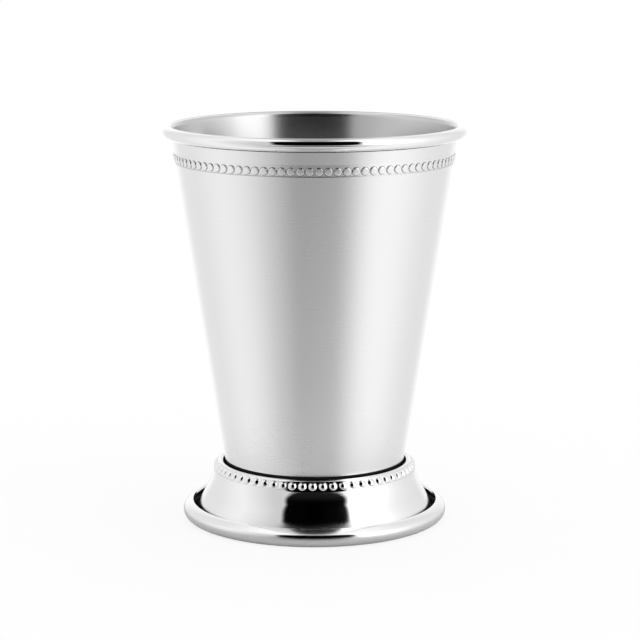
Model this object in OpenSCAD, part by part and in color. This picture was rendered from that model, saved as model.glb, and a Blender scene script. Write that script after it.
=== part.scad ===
// Julep cup: a tapered sheet-metal beaker with a rolled rim, a bead band
// under the rim, and a flared hollow foot with a row of domed beads at its neck.
// Millimetres, +Z up, origin on the table under the middle of the cup.
// Every turned piece is one section in the plane of radius and height,
// spun about the Z axis.

/* [Overall] */
// Height from the table to the top of the rim
cup_h = 110; // [95:1:130]
// Diameter over the rolled rim
rim_d = 84; // [78:0.5:96]
// Diameter over the rolled edge of the foot
foot_d = 73.6; // [62:0.1:84]

/* [Cup body] */
// Thickness of the body's sheet
body_sheet = 0.7; // [0.5:0.05:0.9]
// Height of the cup's underside above the table
floor_h = 12.4; // [11:0.1:13]
// Outer radius of the bend between floor and wall
floor_bend = 4.6; // [3.6:0.1:5.4]
// Diameter of the roll at the rim
rim_curl_d = 3.4; // [2.8:0.1:4.4]
// Slit left between the roll's edge and the wall
rim_slit = 0.15; // [0.05:0.05:0.3]

/* [Bead band] */
// Distance of the band's lower edge below the top of the rim
band_drop = 10.25; // [8:0.25:16]
// Height of the band
band_w = 3.1; // [2.8:0.1:4]
// Thickness of the band at its lower edge
band_t = 0.22; // [0.16:0.02:0.3]
// Thickness that the band fades to at its upper edge
band_edge_t = 0.06; // [0.04:0.01:0.1]
// Diameter of one flat bead
coin_d = 2.1; // [1.6:0.05:2.2]
// Gap between neighbouring flat beads
coin_gap = 0.32; // [0.2:0.02:0.9]
// How far a flat bead stands out from the band
coin_relief = 0.26; // [0.1:0.02:0.4]
// Width of the slope round the face of a flat bead
coin_slope = 0.14; // [0.05:0.01:0.3]
// Distance of the beads' centres above the band's lower edge
coin_lift = 1.46; // [1.2:0.02:1.7]

/* [Foot] */
// Thickness of the foot's sheet
foot_sheet = 0.6; // [0.5:0.05:0.65]
// How far the lip's crest stays below the centre of the bend at the cup's floor
lip_drop = 0.75; // [0.5:0.05:1]
// Inner radius of the fold at the lip
lip_bend = 0.35; // [0.1:0.05:0.5]
// Width of the shoulder, from the wall at the lip out to the top of the skirt
shoulder_w = 3.32; // [3.1:0.02:3.7]
// Drop of the shoulder, from the lip down to the top of the skirt
shoulder_drop = 2.95; // [2.7:0.05:3.4]
// Inner radius of the edge over which the shoulder turns down into the skirt
ledge_bend = 0.6; // [0.3:0.05:0.8]
// How far the skirt leans out from upright at its top
neck_a = 6; // [3:1:14]
// How far the skirt flares out from its top to its bottom
skirt_flare = 4.88; // [4:0.01:5.5]
// How far the skirt leans out from upright at its bottom
base_a = 15; // [10:1:20]
// Sum of the skirt's two radii, as a share of the largest that its height and flare allow
skirt_round_share = 0.98; // [0.6:0.01:0.99]
// Share of that sum that the hollow in the upper skirt takes, and the swell below it the rest
skirt_hollow_share = 0.33; // [0.25:0.01:0.5]
// Inner radius of the bend from the skirt into the rolled edge
hem_bend = 0.7; // [0.5:0.05:0.8]
// Diameter of the roll at the foot's edge
foot_curl_d = 4.2; // [3.8:0.1:4.4]
// How far the rolled edge stands out from the bottom of the skirt
foot_curl_out = 3.5; // [3.4:0.05:4.2]
// Direction, seen from the roll's centre, in which the flatter top of the edge begins
foot_top_a = 50; // [44:1:58]
// Outer radius of the flatter top
foot_top_r = 6; // [4:0.5:8]
// Direction, seen from the centre of that radius, in which the sheet ends
foot_top_end = 71; // [66:1:76]
// Width of the flat seat under the cup's floor
seat_w = 6.5; // [4:0.5:14]

/* [Neck beads] */
// Diameter of one domed bead
dome_d = 2.3; // [2:0.02:2.4]
// Gap between neighbouring domes
dome_gap = 0.5; // [0.2:0.02:1]
// Height of a dome above the shoulder
dome_rise = 0.5; // [0.3:0.02:0.7]
// Thickness of the strip that carries the domes, which is let into the shoulder
strip_t = 0.25; // [0.2:0.01:0.3]
// Margin of the strip beside a dome, at both edges
strip_margin = 0.05; // [0.03:0.01:0.1]
// Clearance along both edges of the strip
strip_play = 0.05; // [0.02:0.01:0.1]

/* [Solder] */
// Thickness of the solder between cup and foot
solder_t = 0.4; // [0.2:0.05:0.6]
// Bare margin at both edges of the solder ring
solder_margin = 1.2; // [0.5:0.1:2]

/* [Hidden] */

// How far beside the front the first flat bead and the first dome sit, in pitches
coin_start_share = 0.5;
dome_start_share = -0.18;
// Direction of the front, and one whole turn
front_a = -90;
turn_a = 360;
// Largest turn between two points of a rounded outline
arc_step = 10;
// Facets round the axis, and round one small bead
turned_facets = 96;
bead_facets = 24;
// Facets of the band along each flat bead, and of the strip along each dome
band_facets_per_coin = 3;
strip_facets_per_dome = 3;

// Points on an arc about centre c, from direction a0 to direction a1
function arc(c, r, a0, a1) =
    let (n = ceil(abs(a1 - a0) / arc_step))
    [for (i = [0:n]) let (a = a0 + (a1 - a0) * i / n) c + r * [cos(a), sin(a)]];

function reversed(points) = [for (i = [len(points) - 1:-1:0]) points[i]];

// A sheet's section: its visible face out, and its hidden face back
function sheet(face, back) = concat(face, reversed(back));

// The foot's levels and radii, from its rolled edge in to the waist, where the
// cup's wall comes out of the lip
foot_h = floor_h + floor_bend - lip_drop;
skirt_top_z = foot_h - shoulder_drop;
skirt_base_r = foot_d / 2 - foot_curl_out;
skirt_top_r = skirt_base_r - skirt_flare;
waist = [skirt_top_r - shoulder_w, foot_h];

// The rim's roll, and the wall that runs straight into it. The wall's outer
// face passes through the waist and touches the inside of the roll.
rim_curl_r = rim_curl_d / 2;
rim_bore_r = rim_curl_r - body_sheet;
rim_c = [rim_d / 2 - rim_curl_r, cup_h - rim_curl_r];
waist_to_rim = rim_c - waist;
taper_a = atan2(waist_to_rim[0], waist_to_rim[1]) - asin(rim_bore_r / norm(waist_to_rim));
rim_end_a = 180 - taper_a + acos((rim_bore_r - rim_slit) / rim_curl_r) - turn_a;

// Radius of the wall's outer face at height z, and a point off that face
function wall_r(z) = waist[0] + tan(taper_a) * (z - waist[1]);
function off_wall(z, out) = [wall_r(z) + out * cos(taper_a), z - out * sin(taper_a)];

// The bend between floor and wall
floor_bend_z = floor_h + floor_bend;
floor_bend_c = [wall_r(floor_bend_z) - floor_bend / cos(taper_a), floor_bend_z];

// The cup's sheet at a depth below its outer face
function cup_face(depth) = concat(
    [[0, floor_h + depth]],
    arc(floor_bend_c, floor_bend - depth, -90, -taper_a),
    arc(rim_c, rim_bore_r + depth, 180 - taper_a, rim_end_a)
);

// The bead band's edges, and its beads
band_z = cup_h - band_drop;
band_top_z = band_z + band_w;
coin_z = band_z + coin_lift;
coin_root = off_wall(coin_z, band_edge_t);
coin_h = band_t - band_edge_t + coin_relief;
coin_count = round(2 * PI * coin_root[0] / (coin_d + coin_gap));

// The seat follows the bend of the cup's floor, one thickness of solder away from
// it, and runs into the lip, whose round touches it
seat_z = floor_h - solder_t;
seat_hole_r = floor_bend_c[0] - seat_w;
lip_r = foot_sheet + lip_bend;
lip_z = foot_h - lip_r;
seat_bend = floor_bend + solder_t;
lip_start_a = -asin((floor_bend_z - lip_z) / (seat_bend + lip_r));
lip_c = floor_bend_c + (seat_bend + lip_r) * [cos(lip_start_a), sin(lip_start_a)];

// The shoulder slopes from the lip to the ledge over the skirt's top, and touches both rounds
skirt_top = [skirt_top_r, skirt_top_z];
neck_out = [cos(neck_a), sin(neck_a)];
ledge_r = foot_sheet + ledge_bend;
ledge_c = skirt_top - ledge_r * neck_out;
ledge_to_lip = lip_c - ledge_c;
shoulder_a = atan2(ledge_to_lip[1], ledge_to_lip[0])
    - acos((ledge_r - lip_r) / norm(ledge_to_lip));
shoulder_out = [cos(shoulder_a), sin(shoulder_a)];
shoulder_mid = (lip_c + ledge_c + (lip_r + ledge_r) * shoulder_out) / 2;

// A place beside the middle of the shoulder: so far up along it, and so far out from it
function on_shoulder(along, out) =
    shoulder_mid + along * [-shoulder_out[1], shoulder_out[0]] + out * shoulder_out;

// A section along the shoulder, from one level under or over it to another
function shoulder_strip(width, low, high) = [
    on_shoulder(-width / 2, low),
    on_shoulder(-width / 2, high),
    on_shoulder(width / 2, high),
    on_shoulder(width / 2, low)
];

// Each domed bead is the cap of a ball whose centre lies under the shoulder
dome_r = (pow(dome_d / 2, 2) + pow(dome_rise, 2)) / (2 * dome_rise);
dome_c = on_shoulder(0, dome_rise - dome_r);
dome_count = round(2 * PI * shoulder_mid[0] / (dome_d + dome_gap));
strip_w = dome_d + 2 * strip_margin;
rebate_w = strip_w + 2 * strip_play;

// The rolled edge stands on the table, and so does the bend that leads into it.
// Its top is flatter and leans in over the channel beside the skirt.
foot_curl_r = foot_curl_d / 2;
foot_curl_c = [foot_d / 2 - foot_curl_r, foot_curl_r];
foot_top_c = foot_curl_c - (foot_top_r - foot_curl_r) * [cos(foot_top_a), sin(foot_top_a)];
hem_c = [skirt_base_r + hem_bend, hem_bend + foot_sheet];

// The skirt is a hollow above and a swell below, joined by the straight
// that touches both. With the largest radii, that straight has no length:
// the two centres are then as far apart as the radii add up to.
base_out = [cos(base_a), sin(base_a)];
skirt_base = hem_c - hem_bend * base_out;
skirt_run = skirt_top - skirt_base;
centres_run = skirt_hollow_share * neck_out + (1 - skirt_hollow_share) * base_out;
run_along = skirt_run * centres_run;
run_left = (1 - centres_run * centres_run) * (skirt_run * skirt_run);
largest_radii = skirt_run * skirt_run / (sqrt(pow(run_along, 2) + run_left) - run_along);
skirt_radii = skirt_round_share * largest_radii;
skirt_hollow_r = skirt_hollow_share * skirt_radii;
skirt_swell_r = skirt_radii - skirt_hollow_r;
hollow_c = skirt_top + skirt_hollow_r * neck_out;
swell_c = skirt_base - skirt_swell_r * base_out;
hollow_to_swell = swell_c - hollow_c;
skirt_a = atan2(-hollow_to_swell[1], -hollow_to_swell[0])
    - acos(skirt_radii / norm(hollow_to_swell));

// The foot's sheet at a depth below its visible face, from the seat to the roll
function foot_face(depth) = concat(
    [[seat_hole_r, seat_z - depth]],
    arc(floor_bend_c, seat_bend + depth, -90, lip_start_a),
    arc(lip_c, lip_r - depth, 180 + lip_start_a, shoulder_a),
    arc(ledge_c, ledge_r - depth, shoulder_a, neck_a),
    arc(hollow_c, skirt_hollow_r + depth, 180 + neck_a, 180 + skirt_a),
    arc(swell_c, skirt_swell_r - depth, skirt_a, base_a),
    arc(hem_c, hem_bend + depth, 180 + base_a, 270),
    arc(foot_curl_c, foot_curl_r - foot_sheet + depth, -90, foot_top_a),
    arc(foot_top_c, foot_top_r - foot_sheet + depth, foot_top_a, foot_top_end)
);

module turned(facets = turned_facets) {
    rotate_extrude($fn = facets)
        children();
}

// Beaker with a flat floor, a straight tapered wall and an outward rolled rim
module cup_body() {
    color("silver")
        turned()
            polygon(sheet(cup_face(0), cup_face(body_sheet)));
}

// Thin strip round the wall with a row of low, flat-topped beads
module bead_band() {
    color("gainsboro")
        union() {
            turned(band_facets_per_coin * coin_count)
                polygon([
                    off_wall(band_z, 0),
                    off_wall(band_z, band_t),
                    off_wall(band_top_z, band_edge_t),
                    off_wall(band_top_z, 0)
                ]);
            for (i = [0:coin_count - 1])
                rotate([0, 0, front_a + (i + coin_start_share) * turn_a / coin_count])
                    translate([coin_root[0], 0, coin_root[1]])
                        rotate([0, 90 + taper_a, 0])
                            cylinder(h = coin_h, d1 = coin_d, d2 = coin_d - 2 * coin_slope,
                                     $fn = bead_facets);
        }
}

// Hollow foot: a seat for the cup, a lip round its wall, a shoulder with a shallow
// rebate for the bead strip, a flared skirt and an edge rolled outward and up
module foot_shell() {
    color("lightgray")
        difference() {
            turned()
                polygon(sheet(foot_face(0), foot_face(foot_sheet)));
            turned()
                polygon(shoulder_strip(rebate_w, -strip_t, dome_rise));
        }
}

// Row of domed beads on a flat strip, whose top is level with the shoulder
module neck_bead_wire() {
    color("whitesmoke")
        intersection() {
            turned(strip_facets_per_dome * dome_count)
                polygon(shoulder_strip(strip_w, -strip_t, 2 * dome_rise));
            union() {
                turned(strip_facets_per_dome * dome_count)
                    polygon(shoulder_strip(rebate_w, -2 * strip_t, 0));
                for (i = [0:dome_count - 1])
                    rotate([0, 0, front_a + (i + dome_start_share) * turn_a / dome_count])
                        translate([dome_c[0], 0, dome_c[1]])
                            sphere(r = dome_r, $fn = bead_facets);
            }
        }
}

// Flat ring of solder between the cup's floor and the foot's seat
module solder_ring() {
    color("darkgray")
        turned()
            translate([seat_hole_r + solder_margin, seat_z])
                square([seat_w - 2 * solder_margin, solder_t]);
}

cup_body();
bead_band();
foot_shell();
neck_bead_wire();
solder_ring();
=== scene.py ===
import math

import bpy
from mathutils import Matrix, Vector

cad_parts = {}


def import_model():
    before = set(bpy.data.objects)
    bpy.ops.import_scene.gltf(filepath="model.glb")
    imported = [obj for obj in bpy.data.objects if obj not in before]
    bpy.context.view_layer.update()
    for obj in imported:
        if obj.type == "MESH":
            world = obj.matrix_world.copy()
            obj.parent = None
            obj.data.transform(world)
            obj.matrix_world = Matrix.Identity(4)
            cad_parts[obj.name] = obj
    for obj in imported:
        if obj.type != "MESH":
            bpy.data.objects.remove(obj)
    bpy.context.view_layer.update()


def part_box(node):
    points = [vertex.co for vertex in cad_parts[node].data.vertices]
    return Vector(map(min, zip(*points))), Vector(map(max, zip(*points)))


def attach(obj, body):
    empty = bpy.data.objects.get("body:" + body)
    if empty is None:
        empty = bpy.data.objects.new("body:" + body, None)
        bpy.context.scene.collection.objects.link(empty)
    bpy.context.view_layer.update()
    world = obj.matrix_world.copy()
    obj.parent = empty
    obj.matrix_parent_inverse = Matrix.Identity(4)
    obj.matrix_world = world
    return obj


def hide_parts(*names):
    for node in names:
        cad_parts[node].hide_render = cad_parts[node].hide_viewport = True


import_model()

# Millimetres and degrees in Blender's metres and radians
MM = 0.001
DEG = math.radians(1)

# Cup body: sizes that the CAD part gives, then those of its sheet
CUP_LOW, CUP_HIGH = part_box("cup_body")
CUP_H = CUP_HIGH.z
RIM_R = CUP_HIGH.x
FLOOR_H = CUP_LOW.z
BODY_SHEET = 0.7 * MM
FLOOR_BEND = 4.6 * MM
RIM_CURL_R = 1.7 * MM
RIM_SLIT = 0.15 * MM

# Foot
FOOT_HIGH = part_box("foot_shell")[1]
FOOT_R = FOOT_HIGH.x
FOOT_H = FOOT_HIGH.z
FOOT_SHEET = 0.6 * MM
LIP_R = 0.95 * MM
LEDGE_R = 1.2 * MM
SHOULDER_W = 3.32 * MM
SHOULDER_DROP = 2.95 * MM
NECK_A = 6
SKIRT_FLARE = 4.88 * MM
BASE_A = 15
SKIRT_ROUND_SHARE = 0.98
SKIRT_HOLLOW_SHARE = 0.33
HEM_BEND = 0.7 * MM
FOOT_CURL_R = 2.1 * MM
FOOT_CURL_OUT = 3.5 * MM
FOOT_TOP_A = 50
FOOT_TOP_R = 6 * MM
FOOT_TOP_END = 71
SEAT_W = 6.5 * MM
SOLDER_T = 0.4 * MM

# Row of domed beads round the foot's neck
DOME_D = 2.3 * MM
DOME_GAP = 0.5 * MM
DOME_RISE = 0.5 * MM
DOME_START_SHARE = -0.18
STRIP_T = 0.25 * MM
STRIP_W = 2.4 * MM
STRIP_PLAY = 0.05 * MM

# Bead band under the rim
BAND_DROP = 10.25 * MM
BAND_W = 3.1 * MM
BAND_T = 0.22 * MM
BAND_EDGE_T = 0.06 * MM
COIN_R = 1.05 * MM
COIN_GAP = 0.32 * MM
COIN_RELIEF = 0.26 * MM
COIN_SLOPE = 0.14 * MM
COIN_LIFT = 1.46 * MM
COIN_START_SHARE = 0.5
COIN_DOME = 0.02 * MM
COIN_DOME_SHARES = (0.35, 0.7, 0.92)
COIN_EDGE_SHARE = 0.35
COIN_EDGE_DROP = 0.04 * MM
# Black line of painted shade round a coin: how far it reaches, where it starts, and the heights above the
# strip
COIN_LINE = 0.08 * MM
COIN_LINE_START = 0.01 * MM
COIN_FOOT_H = 0.05 * MM
COIN_LINE_H = 0.03 * MM
COIN_LINE_END_H = 0.01 * MM
# How far the band's back is let into the wall
BAND_SINK = 0.1 * MM
FRONT_A = -90

# Direction on the rim's roll where its polish ends and the satin inside begins
POLISH_END_A = 125
# Where the black painted shade in the seam between cup and foot ends, on the lip and on the wall above it
LIP_DARK_A = 135
WALL_DARK = 0.62 * MM
# How far below the middle of the rim's roll the black painted shade in its seam with the wall ends
RIM_DARK = 2.06 * MM
# How far inside the seat's hole the black painted shade on the underside of the cup's floor ends
SEAT_BLACK = 0.15 * MM
# Bright-cut line along the bead band's lower edge
CUT_H = 0.2 * MM
CUT_DEPTH = 0.11 * MM
CUT_BLEND = 0.08 * MM

# How finely the pieces are made
TURN = 360
TURNED_SIDES = 320
ARC_STEP = 5
LONGEST_STEP = 4 * MM
EDGE_STEP = 0.25 * MM
SHORT_RUN = 4 * EDGE_STEP
SHARP_ANGLE = 32
DOME_SIDES = 36
COIN_SIDES = 32
SAME_POINT = 1e-7


def polar(angle):
    return Vector((math.cos(angle * DEG), math.sin(angle * DEG)))


def spread(start, end):
    """Angles from start to end, no further apart than the outline's arcs have them."""
    steps = max(1, math.ceil(abs(end - start) / ARC_STEP))
    return [start + (end - start) * i / steps for i in range(steps + 1)]


def arc(centre, radius, start, end):
    """Points on an arc in the plane of radius and height, from direction start to direction end."""
    return [centre + radius * polar(a) for a in spread(start, end)]


def direction(v):
    return math.degrees(math.atan2(v.y, v.x))


# The rim's roll and the wall that touches it, as on the CAD part
BOTTOM_R = FOOT_R - FOOT_CURL_OUT
SKIRT_TOP = Vector((BOTTOM_R - SKIRT_FLARE, FOOT_H - SHOULDER_DROP))
WAIST = Vector((SKIRT_TOP.x - SHOULDER_W, FOOT_H))
RIM_C = Vector((RIM_R - RIM_CURL_R, CUP_H - RIM_CURL_R))
RIM_BORE_R = RIM_CURL_R - BODY_SHEET
TAPER = (math.degrees(math.atan2((RIM_C - WAIST).x, (RIM_C - WAIST).y))
         - math.degrees(math.asin(RIM_BORE_R / (RIM_C - WAIST).length)))
RIM_END = 180 - TAPER + math.degrees(math.acos((RIM_BORE_R - RIM_SLIT) / RIM_CURL_R)) - TURN
COS_TAPER = math.cos(TAPER * DEG)
SIN_TAPER = math.sin(TAPER * DEG)


def wall_r(z):
    """Radius of the wall's outer face at a height."""
    return WAIST.x + math.tan(TAPER * DEG) * (z - WAIST.y)


def off_wall(z, out):
    return Vector((wall_r(z) + out * COS_TAPER, z - out * SIN_TAPER))


FLOOR_BEND_C = Vector((wall_r(FLOOR_H + FLOOR_BEND) - FLOOR_BEND / COS_TAPER, FLOOR_H + FLOOR_BEND))
SEAT_Z = FLOOR_H - SOLDER_T
SEAT_HOLE_R = FLOOR_BEND_C.x - SEAT_W

# The foot's lip, shoulder and skirt
SEAT_BEND = FLOOR_BEND + SOLDER_T
LIP_Z = FOOT_H - LIP_R
LIP_START = -math.degrees(math.asin((FLOOR_BEND_C.y - LIP_Z) / (SEAT_BEND + LIP_R)))
LIP_C = FLOOR_BEND_C + (SEAT_BEND + LIP_R) * polar(LIP_START)
LEDGE_C = SKIRT_TOP - LEDGE_R * polar(NECK_A)
SHOULDER_A = (direction(LIP_C - LEDGE_C)
              - math.degrees(math.acos((LEDGE_R - LIP_R) / (LIP_C - LEDGE_C).length)))
SHOULDER_OUT = polar(SHOULDER_A)
SHOULDER_UP = polar(SHOULDER_A + 90)
SHOULDER_MID = (LIP_C + LEDGE_C + (LIP_R + LEDGE_R) * SHOULDER_OUT) / 2
DOME_COUNT = round(TURN * DEG * SHOULDER_MID.x / (DOME_D + DOME_GAP))

FOOT_CURL_C = Vector((FOOT_R - FOOT_CURL_R, FOOT_CURL_R))
FOOT_TOP_C = FOOT_CURL_C - (FOOT_TOP_R - FOOT_CURL_R) * polar(FOOT_TOP_A)
HEM_C = Vector((BOTTOM_R + HEM_BEND, HEM_BEND + FOOT_SHEET))
SKIRT_BASE = HEM_C - HEM_BEND * polar(BASE_A)
SKIRT_RUN = SKIRT_TOP - SKIRT_BASE
CENTRES_RUN = SKIRT_HOLLOW_SHARE * polar(NECK_A) + (1 - SKIRT_HOLLOW_SHARE) * polar(BASE_A)
RUN_ALONG = SKIRT_RUN.dot(CENTRES_RUN)
RUN_LEFT = (1 - CENTRES_RUN.length_squared) * SKIRT_RUN.length_squared
SKIRT_RADII = (SKIRT_ROUND_SHARE * SKIRT_RUN.length_squared
               / (math.sqrt(RUN_ALONG ** 2 + RUN_LEFT) - RUN_ALONG))
HOLLOW_R = SKIRT_HOLLOW_SHARE * SKIRT_RADII
SWELL_R = SKIRT_RADII - HOLLOW_R
HOLLOW_C = SKIRT_TOP + HOLLOW_R * polar(NECK_A)
SWELL_C = SKIRT_BASE - SWELL_R * polar(BASE_A)
CENTRES = HOLLOW_C - SWELL_C
SKIRT_A = direction(CENTRES) - math.degrees(math.acos(SKIRT_RADII / CENTRES.length))

# The bead band
BAND_Z = CUP_H - BAND_DROP
COIN_Z = BAND_Z + COIN_LIFT
COIN_ROOT = off_wall(COIN_Z, BAND_EDGE_T)
COIN_COUNT = round(TURN * DEG * COIN_ROOT.x / (2 * COIN_R + COIN_GAP))


# Meshes
def make_object(name, verts, faces, face_slots, materials):
    """A smooth mesh object with one material slot for each material."""
    mesh = bpy.data.meshes.new(name)
    mesh.from_pydata(verts, [], faces)
    for material in materials:
        mesh.materials.append(material)
    mesh.polygons.foreach_set("material_index", face_slots)
    mesh.shade_smooth()
    mesh.set_sharp_from_angle(angle=SHARP_ANGLE * DEG)
    mesh.update()
    piece = bpy.data.objects.new(name, mesh)
    bpy.context.scene.collection.objects.link(piece)
    return piece


def stops_between(p, q):
    """Points from p, left out, to q along a straight, with short steps at both ends of a long one."""
    length = (q - p).length
    if length <= SHORT_RUN:
        return [q]
    inner = length - 2 * EDGE_STEP
    count = max(1, math.ceil(inner / LONGEST_STEP))
    along = [EDGE_STEP + inner * i / count for i in range(count + 1)] + [length]
    return [p + (q - p) * (s / length) for s in along]


def joined(stretches, closed):
    """One run of points from the stretches, and the slot of the straight that ends at each."""
    points, slots = [], []
    for slot, stretch in stretches:
        for p in stretch:
            if not points:
                points.append(p)
                slots.append(slot)
            elif (p - points[-1]).length > SAME_POINT:
                for q in stops_between(points[-1], p):
                    points.append(q)
                    slots.append(slot)
    if closed:
        for q in stops_between(points[-1], points[0])[:-1]:
            points.append(q)
            slots.append(slots[0])
    return points, slots


def turned(name, stretches, materials, closed=True, sides=TURNED_SIDES):
    """A piece spun about the Z axis. A stretch is a slot and the points of its part of the outline."""
    points, slots = joined(stretches, closed)
    area = sum(p.x * q.y - q.x * p.y for p, q in zip(points, points[1:] + points[:1]))
    verts, rows = [], []
    for p in points:
        if p.x < SAME_POINT:
            rows.append([len(verts)] * sides)
            verts.append((0, 0, p.y))
            continue
        rows.append(list(range(len(verts), len(verts) + sides)))
        for i in range(sides):
            c = polar(TURN * i / sides)
            verts.append((p.x * c.x, p.x * c.y, p.y))
    faces, face_slots = [], []
    count = len(points)
    for k in range(count if closed else count - 1):
        low, high = rows[k], rows[(k + 1) % count]
        for i in range(sides):
            j = (i + 1) % sides
            ring = [low[i], low[j], high[j], high[i]]
            face = list(dict.fromkeys(ring))
            if len(face) < 3:
                continue
            faces.append(face if area > 0 else face[::-1])
            face_slots.append(slots[(k + 1) % count])
    return make_object(name, verts, faces, face_slots, materials)


def add_round(verts, faces, slots, place, profile, sides):
    """Add one small closed lathe to a mesh.

    Its profile gives slots, radii, heights and leans from the top down. A lean raises a ring towards +X.
    """
    first = len(verts)
    verts.append(place @ Vector((0, 0, profile[0][2])))
    for _, r, h, lean in profile[1:]:
        for i in range(sides):
            c = polar(TURN * i / sides)
            verts.append(place @ Vector((r * c.x, r * c.y, h + lean * r * c.x)))
    for i in range(sides):
        j = (i + 1) % sides
        faces.append((first, first + 1 + i, first + 1 + j))
        slots.append(profile[1][0])
        for k in range(len(profile) - 2):
            a, b = first + 1 + k * sides, first + 1 + (k + 1) * sides
            faces.append((a + i, b + i, b + j, a + j))
            slots.append(profile[k + 2][0])
    last = first + 1 + (len(profile) - 2) * sides
    faces.append([last + i for i in reversed(range(sides))])
    slots.append(profile[-1][0])


# Materials
def new_material(name, colour, roughness, metallic=1.0, anisotropic=0.0):
    """A Principled material and its nodes, with its constant values on the shader's own sockets."""
    material = bpy.data.materials.new(name)
    material.use_nodes = True
    shader = material.node_tree.nodes["Principled BSDF"]
    shader.inputs["Base Color"].default_value = (*colour, 1)
    shader.inputs["Roughness"].default_value = roughness
    shader.inputs["Metallic"].default_value = metallic
    shader.inputs["Anisotropic"].default_value = anisotropic
    return material, material.node_tree.nodes, material.node_tree.links, shader


def math_node(nodes, links, operation, a, b=None):
    node = nodes.new("ShaderNodeMath")
    node.operation = operation
    for socket, value in zip(node.inputs, (a, b)):
        if value is None:
            continue
        if isinstance(value, (int, float)):
            socket.default_value = value
        else:
            links.new(value, socket)
    return node.outputs[0]


def range_node(nodes, links, value, low, high, out_low, out_high, smooth=False):
    node = nodes.new("ShaderNodeMapRange")
    node.interpolation_type = "SMOOTHSTEP" if smooth else "LINEAR"
    links.new(value, node.inputs["Value"])
    ends = {"From Min": low, "From Max": high, "To Min": out_low, "To Max": out_high}
    for name, number in ends.items():
        node.inputs[name].default_value = number
    return node.outputs[0]


def noise_node(nodes, links, vector, scale, detail):
    node = nodes.new("ShaderNodeTexNoise")
    node.inputs["Scale"].default_value = scale
    node.inputs["Detail"].default_value = detail
    links.new(vector, node.inputs["Vector"])
    return node.outputs["Fac"]


def lathe_coordinates(nodes, links, around, up):
    """A vector that runs round the axis and up it, for marks that a spinning tool leaves."""
    where = nodes.new("ShaderNodeTexCoord").outputs["Object"]
    parts = nodes.new("ShaderNodeSeparateXYZ")
    links.new(where, parts.inputs[0])
    x, y, z = parts.outputs
    squares = [math_node(nodes, links, "MULTIPLY", part, part) for part in (x, y)]
    radius = math_node(nodes, links, "SQRT", math_node(nodes, links, "ADD", *squares))
    joined_up = nodes.new("ShaderNodeCombineXYZ")
    links.new(math_node(nodes, links, "MULTIPLY", x, around), joined_up.inputs[0])
    links.new(math_node(nodes, links, "MULTIPLY", y, around), joined_up.inputs[1])
    links.new(math_node(nodes, links, "MULTIPLY", math_node(nodes, links, "ADD", z, radius), up),
              joined_up.inputs[2])
    return joined_up.outputs[0], where


def add_bump(nodes, links, shader, height, strength, distance):
    bump = nodes.new("ShaderNodeBump")
    bump.inputs["Strength"].default_value = strength
    bump.inputs["Distance"].default_value = distance
    links.new(height, bump.inputs["Height"])
    links.new(bump.outputs[0], shader.inputs["Normal"])


def grey(level):
    return (level, level, level)


# Noise that marks the metals: its cells per metre round the axis and up it, and those of the clouds in it
BRUSH_AROUND = 5
BRUSH_UP = 9000
WIPE_AROUND = 60
WIPE_UP = 900
SATIN_CLOUDS = 45
POLISH_CLOUDS = 90
# Clouds in the painted seam shade
SEAM_SHADE_CLOUDS = 400
# How deep the marks are, and how much they and the clouds change the roughness
MARK_DEPTH = 0.01 * MM
BRUSH_STRENGTH = 0.002
WIPE_STRENGTH = 0.02
BRUSH_ROUGHNESS = 0.01
CLOUD_ROUGHNESS = 0.03
POLISH_HAZE = (0.45, 0.75, 0, 0.03)
# Roughness range and specular level of the painted seam shade
SEAM_SHADE_ROUGHNESS = (0.3, 0.7, 0.4, 0.65)
SEAM_SHADE_SPECULAR = 0.2
# Turns the smear of brushed metal from round the axis to along it
QUARTER_TURN = 0.25


def satin_metal(name, colour, roughness, anisotropic):
    """Spun and brushed sheet: fine marks round the axis smear what it reflects up and down."""
    material, nodes, links, shader = new_material(name, colour, roughness, anisotropic=anisotropic)
    shader.inputs["Anisotropic Rotation"].default_value = QUARTER_TURN
    tangent = nodes.new("ShaderNodeTangent")
    tangent.direction_type = "RADIAL"
    tangent.axis = "Z"
    links.new(tangent.outputs[0], shader.inputs["Tangent"])
    marks_at, where = lathe_coordinates(nodes, links, around=BRUSH_AROUND, up=BRUSH_UP)
    marks = noise_node(nodes, links, marks_at, 1, 2)
    clouds = noise_node(nodes, links, where, SATIN_CLOUDS, 2)
    haze = math_node(nodes, links, "ADD", math_node(nodes, links, "MULTIPLY", marks, BRUSH_ROUGHNESS),
                     math_node(nodes, links, "MULTIPLY", clouds, CLOUD_ROUGHNESS))
    smoothest = roughness - (BRUSH_ROUGHNESS + CLOUD_ROUGHNESS) / 2
    links.new(math_node(nodes, links, "ADD", haze, smoothest), shader.inputs["Roughness"])
    add_bump(nodes, links, shader, marks, BRUSH_STRENGTH, MARK_DEPTH)
    return material


def polished_metal(name, colour, roughness, wear_and_shade=None):
    """Mirror polish with faint wipe marks. From one height down to another it can turn dull with wear and
    darken in colour as painted shade.
    """
    material, nodes, links, shader = new_material(name, colour, roughness)
    marks_at, where = lathe_coordinates(nodes, links, around=WIPE_AROUND, up=WIPE_UP)
    marks = noise_node(nodes, links, marks_at, 1, 3)
    clouds = noise_node(nodes, links, where, POLISH_CLOUDS, 3)
    haze = range_node(nodes, links, clouds, *POLISH_HAZE, smooth=True)
    add_bump(nodes, links, shader, marks, WIPE_STRENGTH, MARK_DEPTH)
    if wear_and_shade:
        high, low, shade_colour, dull_roughness = wear_and_shade
        parts = nodes.new("ShaderNodeSeparateXYZ")
        links.new(where, parts.inputs[0])
        z = parts.outputs[2]
        # Painted shade: the colour darkens from the one height down to the other
        shade = range_node(nodes, links, z, high, low, colour[0], shade_colour, smooth=True)
        links.new(shade, shader.inputs["Base Color"])
        roughness = range_node(nodes, links, z, high, low, roughness, dull_roughness, smooth=True)
    links.new(math_node(nodes, links, "ADD", haze, roughness), shader.inputs["Roughness"])
    return material


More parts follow.
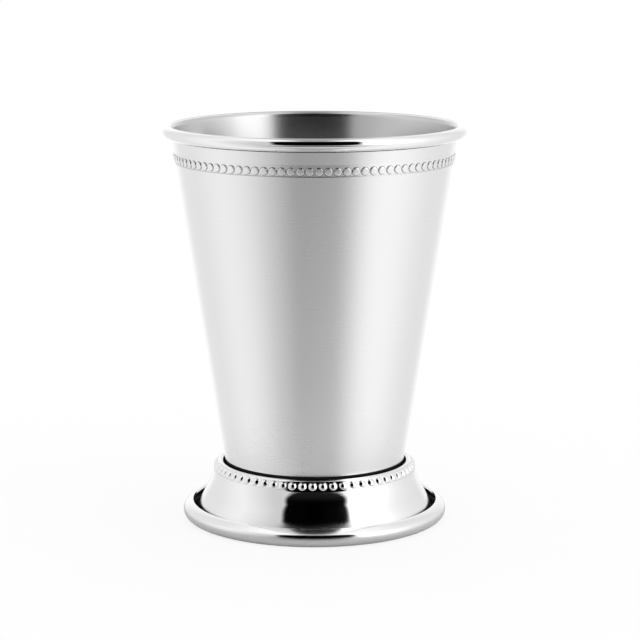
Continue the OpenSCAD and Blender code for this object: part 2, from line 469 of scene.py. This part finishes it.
def painted_seam_shade(name):
    """Near-black painted shade for seams, creases and gaps between parts."""
    material, nodes, links, shader = new_material(name, grey(0.012), 0.5, metallic=0.3)
    where = nodes.new("ShaderNodeTexCoord").outputs["Object"]
    clouds = noise_node(nodes, links, where, SEAM_SHADE_CLOUDS, 3)
    links.new(range_node(nodes, links, clouds, *SEAM_SHADE_ROUGHNESS), shader.inputs["Roughness"])
    shader.inputs["Specular IOR Level"].default_value = SEAM_SHADE_SPECULAR
    return material


# Where the foot's polish dulls with wear and, on the rolled edge, darkens as painted shade (the skirt keeps
# its colour): the heights from and to, then the colour at the lower height and the roughness there
SKIRT_WEAR = (6.4 * MM, 4.2 * MM, 0.87, 0.22)
ROLL_WEAR_AND_SHADE = (3.25 * MM, 2.3 * MM, 0.68, 0.48)

SATIN = satin_metal("satin_steel", (0.86, 0.86, 0.87), 0.275, 0.667)
INSIDE = satin_metal("inside_steel", grey(0.62), 0.24, 0.4)
POLISHED = polished_metal("polished_steel", grey(0.87), 0.05)
SKIRT = polished_metal("foot_steel", grey(0.87), 0.05, SKIRT_WEAR)
# The rolled edge darkens towards the table as painted shade, and turns rougher with wear
ROLLED_AND_SHADED = polished_metal("rolled_edge_steel_shaded", grey(0.87), 0.08, ROLL_WEAR_AND_SHADE)
HIDDEN_FACE = satin_metal("unpolished_steel", grey(0.62), 0.4, 0.5)
# Near-black painted shade for seams, creases and gaps
SEAM_SHADE = painted_seam_shade("seam_painted_shade")
# Near-black painted shade inside the foot's rolled edge
CHANNEL_SHADE = polished_metal("channel_painted_shade", grey(0.035), 0.45)
SOLDER = satin_metal("solder_grey", grey(0.5), 0.5, 0.0)


# Pieces
def dress(piece, node):
    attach(piece, "root")
    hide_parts(node)
    return piece


def cup_body():
    """Beaker of one sheet: outer face up from the floor, round the roll, and back down inside."""
    slots = [SEAM_SHADE, SATIN, POLISHED, INSIDE, HIDDEN_FACE]
    black, satin, polished, inside, bare = range(len(slots))
    bore = arc(RIM_C, RIM_BORE_R, 180 - TAPER, RIM_END)
    floor_edge = arc(FLOOR_BEND_C, FLOOR_BEND - BODY_SHEET, -TAPER, -90)
    stretches = [
        (bare, [Vector((0, FLOOR_H)), Vector((SEAT_HOLE_R - SEAT_BLACK, FLOOR_H))]),
        # Painted shade: black under the floor's edge and up the wall to just above the foot's lip
        (black, arc(FLOOR_BEND_C, FLOOR_BEND, -90, -TAPER) + [off_wall(FOOT_H + WALL_DARK, 0)]),
        (satin, [off_wall(RIM_C.y - RIM_DARK, 0)]),
        # Painted shade: black on the wall just under the rim's roll and inside the roll
        (black, bore),
        (polished, arc(RIM_C, RIM_CURL_R, RIM_END, POLISH_END_A)),
        (inside, arc(RIM_C, RIM_CURL_R, POLISH_END_A, 180 - TAPER)),
        (inside, floor_edge + [Vector((0, FLOOR_H + BODY_SHEET))]),
    ]
    piece = turned("cup_sheet", stretches, slots, closed=False)
    return dress(piece, "cup_body")


def bead_band():
    """Thin strip round the wall with a row of low flat beads."""
    satin, cut = range(2)
    cut_top = BAND_Z + CUT_H + CUT_BLEND
    thinner = (BAND_T - BAND_EDGE_T) / BAND_W
    stretches = [
        (satin, [off_wall(BAND_Z, -BAND_SINK), off_wall(BAND_Z, BAND_T)]),
        (cut, [off_wall(BAND_Z + CUT_H, BAND_T - CUT_DEPTH)]),
        (satin, [off_wall(cut_top, BAND_T - thinner * (cut_top - BAND_Z))]),
        (satin, [off_wall(BAND_Z + BAND_W, BAND_EDGE_T), off_wall(BAND_Z + BAND_W, -BAND_SINK)]),
    ]
    band = turned("band_strip", stretches, [SATIN, HIDDEN_FACE])
    dress(band, "bead_band")
    face, line = range(2)
    top = BAND_T - BAND_EDGE_T + COIN_RELIEF
    face_r = COIN_R - COIN_SLOPE
    line_r = COIN_R + COIN_LINE
    profile = [(face, 0, top + COIN_DOME, 0)]
    for share in COIN_DOME_SHARES:
        profile.append((face, face_r * share, top + COIN_DOME * (1 - share ** 2), 0))
    profile.append((face, face_r + COIN_SLOPE * COIN_EDGE_SHARE, top - COIN_EDGE_DROP, 0))
    # The black line of painted shade round a bead lies on the strip, which is thicker towards its lower
    # edge
    strip_t = BAND_T - BAND_EDGE_T - thinner * COIN_LIFT
    profile += [
        (face, COIN_R, strip_t + COIN_FOOT_H, thinner),
        (line, COIN_R + COIN_LINE_START, strip_t + COIN_LINE_H, thinner),
        (line, line_r, strip_t + COIN_LINE_END_H, thinner),
        (line, line_r, 0, 0),
    ]
    verts, faces, slots = [], [], []
    for n in range(COIN_COUNT):
        turn = Matrix.Rotation((FRONT_A + (n + COIN_START_SHARE) * TURN / COIN_COUNT) * DEG, 4, "Z")
        place = (turn @ Matrix.Translation((COIN_ROOT.x, 0, COIN_ROOT.y))
                 @ Matrix.Rotation((90 + TAPER) * DEG, 4, "Y"))
        add_round(verts, faces, slots, place, profile, COIN_SIDES)
    coins = make_object("band_beads", verts, faces, slots, [SATIN, SEAM_SHADE])
    return dress(coins, "bead_band")


def on_shoulder(along, out):
    """A place beside the middle of the shoulder, up along it and out from it."""
    return SHOULDER_MID + along * SHOULDER_UP + out * SHOULDER_OUT


def foot_shell():
    """One sheet: seat, bend round the cup, lip, shoulder, flared skirt and open rolled edge."""
    slots = [SKIRT, SEAM_SHADE, ROLLED_AND_SHADED, HIDDEN_FACE, CHANNEL_SHADE]
    skirt, black, rolled, hidden, channel = range(len(slots))
    half = STRIP_W / 2 + STRIP_PLAY
    rebate = [on_shoulder(half, 0), on_shoulder(half, -STRIP_T)]
    rebate += [on_shoulder(-half, -STRIP_T), on_shoulder(-half, 0)]
    stretches = [
        # Painted shade: black on the seat, round the bend under the cup and up the lip's inner side
        (black, [Vector((SEAT_HOLE_R, SEAT_Z))]),
        (black, arc(FLOOR_BEND_C, SEAT_BEND, -90, LIP_START)),
        (black, arc(LIP_C, LIP_R, 180 + LIP_START, LIP_DARK_A)),
        (skirt, arc(LIP_C, LIP_R, LIP_DARK_A, SHOULDER_A)),
        (skirt, rebate[:1]),
        # Painted shade: black in the rebate that shows beside the dome strip
        (black, rebate),
        (skirt, arc(LEDGE_C, LEDGE_R, SHOULDER_A, NECK_A)),
        (skirt, arc(HOLLOW_C, HOLLOW_R, 180 + NECK_A, 180 + SKIRT_A)),
        (skirt, arc(SWELL_C, SWELL_R, SKIRT_A, BASE_A)),
        # Painted shade: the inside of the rolled edge is near-black
        (channel, arc(HEM_C, HEM_BEND, 180 + BASE_A, 270)),
        (channel, arc(FOOT_CURL_C, FOOT_CURL_R - FOOT_SHEET, -90, FOOT_TOP_A)),
        (channel, arc(FOOT_TOP_C, FOOT_TOP_R - FOOT_SHEET, FOOT_TOP_A, FOOT_TOP_END)),
        (rolled, arc(FOOT_TOP_C, FOOT_TOP_R, FOOT_TOP_END, FOOT_TOP_A)),
        (rolled, arc(FOOT_CURL_C, FOOT_CURL_R, FOOT_TOP_A, -90)),
        (skirt, arc(HEM_C, HEM_BEND + FOOT_SHEET, 270, 180 + BASE_A)),
        (hidden, arc(SWELL_C, SWELL_R - FOOT_SHEET, BASE_A, SKIRT_A)),
        (hidden, arc(HOLLOW_C, HOLLOW_R + FOOT_SHEET, 180 + SKIRT_A, 180 + NECK_A)),
        (hidden, arc(LEDGE_C, LEDGE_R - FOOT_SHEET, NECK_A, SHOULDER_A)),
        (hidden, arc(LIP_C, LIP_R - FOOT_SHEET, SHOULDER_A, 180 + LIP_START)),
        (hidden, arc(FLOOR_BEND_C, SEAT_BEND + FOOT_SHEET, LIP_START, -90)),
        (hidden, [Vector((SEAT_HOLE_R, SEAT_Z - FOOT_SHEET))]),
    ]
    piece = turned("foot_sheet", stretches, slots)
    return dress(piece, "foot_shell")


def neck_bead_wire():
    """Row of polished domes on a thin strip that is let into the shoulder."""
    half = STRIP_W / 2
    strip = [on_shoulder(-half, -STRIP_T), on_shoulder(-half, 0)]
    strip += [on_shoulder(half, 0), on_shoulder(half, -STRIP_T)]
    dress(turned("neck_strip", [(0, strip)], [POLISHED]), "neck_bead_wire")
    radius = ((DOME_D / 2) ** 2 + DOME_RISE ** 2) / (2 * DOME_RISE)
    edge = math.degrees(math.asin(DOME_D / 2 / radius))
    profile = [radius * polar(90 - a) + Vector((0, DOME_RISE - radius)) for a in spread(0, edge)]
    profile += [Vector((DOME_D / 2, -STRIP_T / 2))]
    verts, faces, slots = [], [], []
    for n in range(DOME_COUNT):
        turn = Matrix.Rotation((FRONT_A + (n + DOME_START_SHARE) * TURN / DOME_COUNT) * DEG, 4, "Z")
        place = (turn @ Matrix.Translation((SHOULDER_MID.x, 0, SHOULDER_MID.y))
                 @ Matrix.Rotation((90 - SHOULDER_A) * DEG, 4, "Y"))
        add_round(verts, faces, slots, place, [(0, p.x, p.y, 0) for p in profile], DOME_SIDES)
    domes = make_object("neck_domes", verts, faces, slots, [POLISHED])
    return dress(domes, "neck_bead_wire")


def solder_ring():
    """Grey solder between floor and seat."""
    low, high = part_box("solder_ring")
    inner = SEAT_HOLE_R + (SEAT_W - (high.x - SEAT_HOLE_R))
    corners = [(inner, low.z), (high.x, low.z), (high.x, high.z), (inner, high.z)]
    outline = [Vector(corner) for corner in corners]
    return dress(turned("solder_layer", [(0, outline)], [SOLDER]), "solder_ring")


# Studio
FLOOR_HALF = 3.0
FLOOR_DROP = 0.02 * MM
WHITE = (1, 1, 1, 1)
FLOOR_COLOUR = (*grey(0.98), 1)
FLOOR_GLOW = 0.8
# The table that the metal sees near the foot: its colour, and the radii between which it fades away
NEAR_COLOUR = (*grey(0.8), 1)
NEAR_SPAN = (48 * MM, 75 * MM, 0, 1)

# Light that the metal reflects, by direction round the cup: 0 is towards the camera, 90 to its right.
# The first list is for the studio's walls and the second for the table.
STUDIO_RING = [
    (-180, 1.12), (-163, 1.08), (-146, 0.86), (-119, 0.88), (-100, 0.97), (-86, 1.01), (-73, 0.92),
    (-60, 0.82), (-47, 0.70), (-38, 0.68), (36, 1.1), (41, 1.5), (47, 1.9), (66, 1.8), (77, 1.35),
    (90, 1.12), (101, 1.0), (120, 0.90), (144, 0.84), (163, 1.04), (180, 1.12),
]
TABLE_RING = [
    (-180, 1.12), (-163, 1.08), (-146, 0.88), (-119, 0.88), (-103, 0.95), (-88, 1.0), (-73, 0.97),
    (-62, 0.90), (-51, 0.80), (-43, 0.70), (-38, 0.72), (34, 0.92), (46, 0.94), (66, 1.05), (86, 1.03),
    (96, 0.98), (108, 0.92), (120, 0.88), (144, 0.86), (163, 1.04), (180, 1.12),
]
RING_BRIGHTEST = 2.0
# Each span below is what a value runs from and to, and what it gives at those two ends.
# Ceiling: its light, and the elevations between which the walls pass into it
CEILING = 1.12
CEILING_SPAN = (45, 70, 0, 1)
# Grey strip overhead: how it fades to both sides, and the elevations over which it sets in
STRIP_SPAN = (0.05, 0.24, 0.65, 0)
STRIP_RISE = (2, 40, 0, 1)
# Dark opening: its middle and half sizes in degrees, how square it is, how its edge and its foot lighten
OPENING_A = 1.7
OPENING_E = 36
OPENING_HALF_E = 38
OPENING_HALF_A_SPAN = (30, 66, 36.2, 54)
OPENING_POWER = 4
OPENING_EDGE_SPAN = (0.6, 1.15, 0, 1)
OPENING_FOOT_SPAN = (24, 4, 0.001, 0.012)
# Table in front of the cup: its middle, how it lightens to the sides, and how it changes downwards
TABLE_A = 2.5
TABLE_SIDE_SPAN = (14, 50, 0, 1)
TABLE_DEPTH_SPAN = (-22, -31, 0.2, 1)
TABLE_UNDER_SPAN = (-33, -54, 0, 0.55)
HORIZON_SPAN = (-8, 0, 0, 1)

# Camera, in millimetres, metres and degrees
SENSOR_W = 36
LENS = 129.5
CLIP_START = 0.01
CLIP_END = 50
CAMERA_AT = (0, -0.630, 0.170)
CAMERA_DOWN_A = 10.308
CAMERA_TURN_A = -0.14


def ring_node(nodes, links, azimuth, levels):
    """Light by direction round the cup."""
    ramp = nodes.new("ShaderNodeValToRGB")
    links.new(range_node(nodes, links, azimuth, -TURN / 2, TURN / 2, 0, 1), ramp.inputs[0])
    stops = ramp.color_ramp.elements
    while len(stops) < len(levels):
        stops.new(0.5)
    for stop, (angle, level) in zip(stops, levels):
        stop.position = angle / TURN + 0.5
        stop.color = (*grey(level / RING_BRIGHTEST), 1)
    return math_node(nodes, links, "MULTIPLY", ramp.outputs[0], RING_BRIGHTEST)


def world():
    """Soft studio all round, with a dark opening towards the camera, seen only in reflections."""
    scene_world = bpy.data.worlds.new("studio")
    scene_world.use_nodes = True
    bpy.context.scene.world = scene_world
    nodes, links = scene_world.node_tree.nodes, scene_world.node_tree.links
    nodes.clear()

    def calc(operation, a, b=None):
        return math_node(nodes, links, operation, a, b)

    def over(value, span, smooth=True):
        return range_node(nodes, links, value, *span, smooth=smooth)

    parts = nodes.new("ShaderNodeSeparateXYZ")
    links.new(nodes.new("ShaderNodeTexCoord").outputs["Generated"], parts.inputs[0])
    x, y, z = parts.outputs
    azimuth = calc("DIVIDE", calc("ARCTAN2", x, calc("MULTIPLY", y, -1)), DEG)
    elevation = calc("DIVIDE", calc("ARCSINE", z), DEG)
    high = over(elevation, CEILING_SPAN)
    walls = calc("MULTIPLY", ring_node(nodes, links, azimuth, STUDIO_RING), calc("SUBTRACT", 1, high))
    surround = calc("ADD", walls, calc("MULTIPLY", high, CEILING))
    # The two sides of the studio leave a grey strip between them overhead
    strip = calc("MULTIPLY", over(calc("ABSOLUTE", x), STRIP_SPAN), over(elevation, STRIP_RISE))
    surround = calc("MULTIPLY", surround, calc("SUBTRACT", 1, strip))
    # The opening is a rounded rectangle in azimuth and elevation, and not quite black at its foot
    half_a = over(elevation, OPENING_HALF_A_SPAN, smooth=False)
    across = calc("DIVIDE", calc("SUBTRACT", azimuth, OPENING_A), half_a)
    up = calc("DIVIDE", calc("SUBTRACT", elevation, OPENING_E), OPENING_HALF_E)
    away = calc("ADD", *[calc("POWER", calc("ABSOLUTE", part), OPENING_POWER) for part in (across, up)])
    light = calc("MAXIMUM", over(away, OPENING_EDGE_SPAN), over(elevation, OPENING_FOOT_SPAN))
    above = calc("MULTIPLY", surround, light)
    # Below the horizon the table shows. In front it is dark near the horizon and again straight below.
    side = over(calc("ABSOLUTE", calc("SUBTRACT", azimuth, TABLE_A)), TABLE_SIDE_SPAN)
    depth = over(elevation, TABLE_DEPTH_SPAN)
    front_light = calc("ADD", depth, calc("MULTIPLY", side, calc("SUBTRACT", 1, depth)))
    deep = over(elevation, TABLE_UNDER_SPAN)
    under = calc("SUBTRACT", 1, calc("MULTIPLY", deep, calc("SUBTRACT", 1, side)))
    table = ring_node(nodes, links, azimuth, TABLE_RING)
    below = calc("MULTIPLY", calc("MULTIPLY", table, front_light), under)
    sky = over(elevation, HORIZON_SPAN)
    reflected = calc("ADD", calc("MULTIPLY", above, sky),
                     calc("MULTIPLY", below, calc("SUBTRACT", 1, sky)))
    path = nodes.new("ShaderNodeLightPath")
    mix = nodes.new("ShaderNodeMix")
    mix.data_type = "FLOAT"
    links.new(calc("MAXIMUM", path.outputs["Is Camera Ray"], path.outputs["Is Diffuse Ray"]), mix.inputs[0])
    links.new(reflected, mix.inputs[2])
    mix.inputs[3].default_value = 1
    background = nodes.new("ShaderNodeBackground")
    links.new(mix.outputs[0], background.inputs["Strength"])
    background.inputs["Color"].default_value = WHITE
    output = nodes.new("ShaderNodeOutputWorld")
    links.new(background.outputs[0], output.inputs[0])


def floor():
    """White table that keeps a faint shadow under the cup."""
    verts = [(-FLOOR_HALF, -FLOOR_HALF, 0), (FLOOR_HALF, -FLOOR_HALF, 0),
             (FLOOR_HALF, FLOOR_HALF, 0), (-FLOOR_HALF, FLOOR_HALF, 0)]
    mesh = bpy.data.meshes.new("floor")
    mesh.from_pydata(verts, [], [(0, 1, 2, 3)])
    table = bpy.data.objects.new("floor", mesh)
    bpy.context.scene.collection.objects.link(table)
    material = bpy.data.materials.new("floor_white")
    material.use_nodes = True
    nodes, links = material.node_tree.nodes, material.node_tree.links
    nodes.clear()
    matte = nodes.new("ShaderNodeBsdfDiffuse")
    matte.inputs["Color"].default_value = FLOOR_COLOUR
    glow = nodes.new("ShaderNodeEmission")
    glow.inputs["Color"].default_value = WHITE
    path = nodes.new("ShaderNodeLightPath")
    seen = nodes.new("ShaderNodeMixShader")
    share = math_node(nodes, links, "MULTIPLY", path.outputs["Is Camera Ray"], FLOOR_GLOW)
    links.new(share, seen.inputs[0])
    links.new(matte.outputs[0], seen.inputs[1])
    links.new(glow.outputs[0], seen.inputs[2])
    # Metal sees the table itself near the foot, and further out what the world shows below the horizon
    where = nodes.new("ShaderNodeVectorMath")
    where.operation = "LENGTH"
    links.new(nodes.new("ShaderNodeTexCoord").outputs["Object"], where.inputs[0])
    near = nodes.new("ShaderNodeMixShader")
    near_table = nodes.new("ShaderNodeBsdfDiffuse")
    near_table.inputs["Color"].default_value = NEAR_COLOUR
    gone = range_node(nodes, links, where.outputs["Value"], *NEAR_SPAN, smooth=True)
    links.new(gone, near.inputs[0])
    links.new(near_table.outputs[0], near.inputs[1])
    links.new(nodes.new("ShaderNodeBsdfTransparent").outputs[0], near.inputs[2])
    mix = nodes.new("ShaderNodeMixShader")
    links.new(path.outputs["Is Glossy Ray"], mix.inputs[0])
    links.new(seen.outputs[0], mix.inputs[1])
    links.new(near.outputs[0], mix.inputs[2])
    output = nodes.new("ShaderNodeOutputMaterial")
    links.new(mix.outputs[0], output.inputs[0])
    mesh.materials.append(material)
    table.location.z = -FLOOR_DROP


def camera():
    """The photograph's view: from a little above, a long lens, 0.63 m in front of the cup."""
    data = bpy.data.cameras.new("camera")
    data.sensor_width = SENSOR_W
    data.lens = LENS
    data.clip_start = CLIP_START
    data.clip_end = CLIP_END
    view = bpy.data.objects.new("camera", data)
    view.location = CAMERA_AT
    view.rotation_euler = ((90 - CAMERA_DOWN_A) * DEG, 0, CAMERA_TURN_A * DEG)
    bpy.context.scene.collection.objects.link(view)
    bpy.context.scene.camera = view


cup_body()
bead_band()
foot_shell()
neck_bead_wire()
solder_ring()
world()
floor()
camera()
bpy.context.scene.view_settings.view_transform = "Standard"
